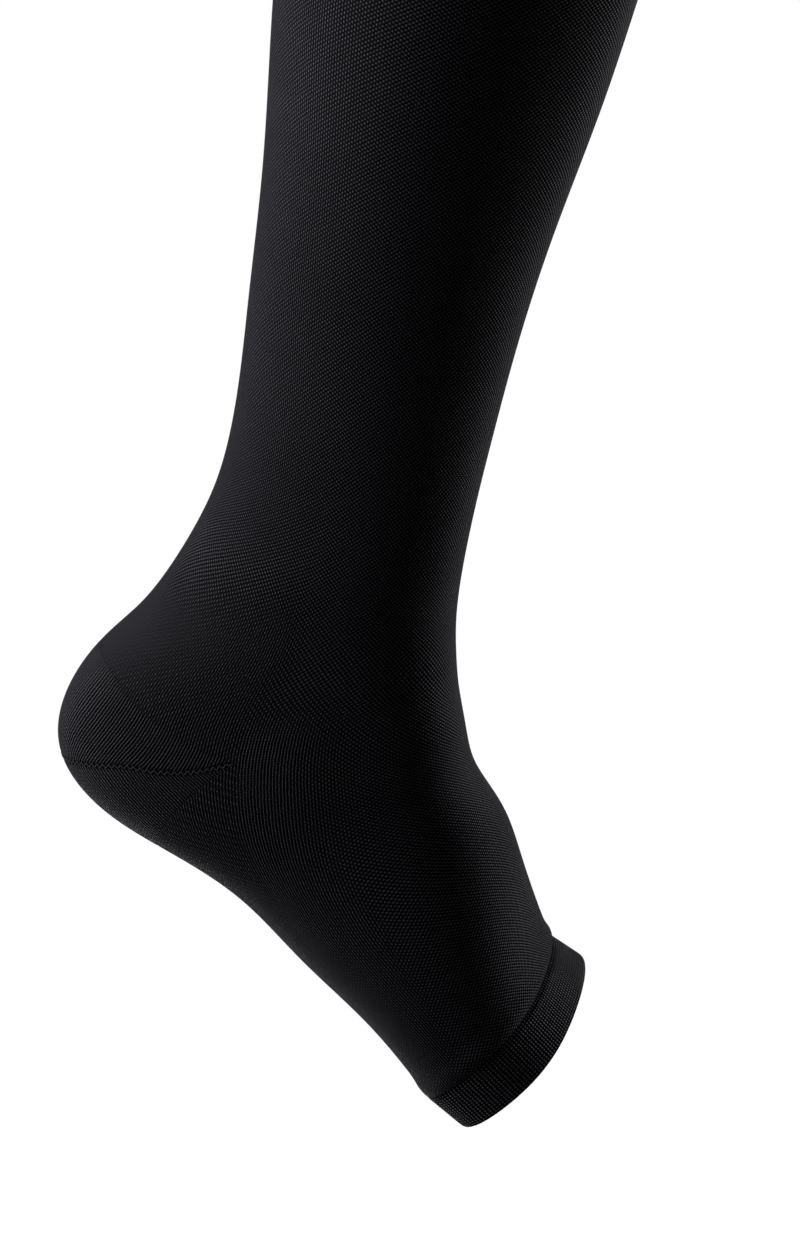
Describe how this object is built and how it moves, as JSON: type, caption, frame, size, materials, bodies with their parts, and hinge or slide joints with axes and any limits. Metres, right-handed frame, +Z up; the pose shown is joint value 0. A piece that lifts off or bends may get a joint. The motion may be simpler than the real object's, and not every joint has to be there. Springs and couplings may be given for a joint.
{
  "type": "compression stocking",
  "caption": "Knee-high open-toe compression stocking for a right leg: a thin knitted tube with a heel pouch, a top band and a toe band, in its worn form.",
  "frame": {"origin": "middle of the top opening, where the leg below the knee fills and holds the stocking", "axes": "+Z up along the shank, +X forward, the way the toes point, +Y towards the wearer's left, which is the inner side of this right leg"},
  "size_m": [0.1911, 0.1133, 0.458],
  "materials": {
    "plain_knit": "black opaque elastic knit, matt with a soft sheen at the sides",
    "pouch_knit": "black ribbed-looking plain knit of the heel pouch",
    "band_knit": "black fine rib of the top and toe bands"
  },
  "bodies": {
    "root": {"top_band": "band_knit", "leg": "plain_knit", "heel": "pouch_knit", "foot": "plain_knit", "toe_band": "band_knit"}
  },
  "joints": []
}
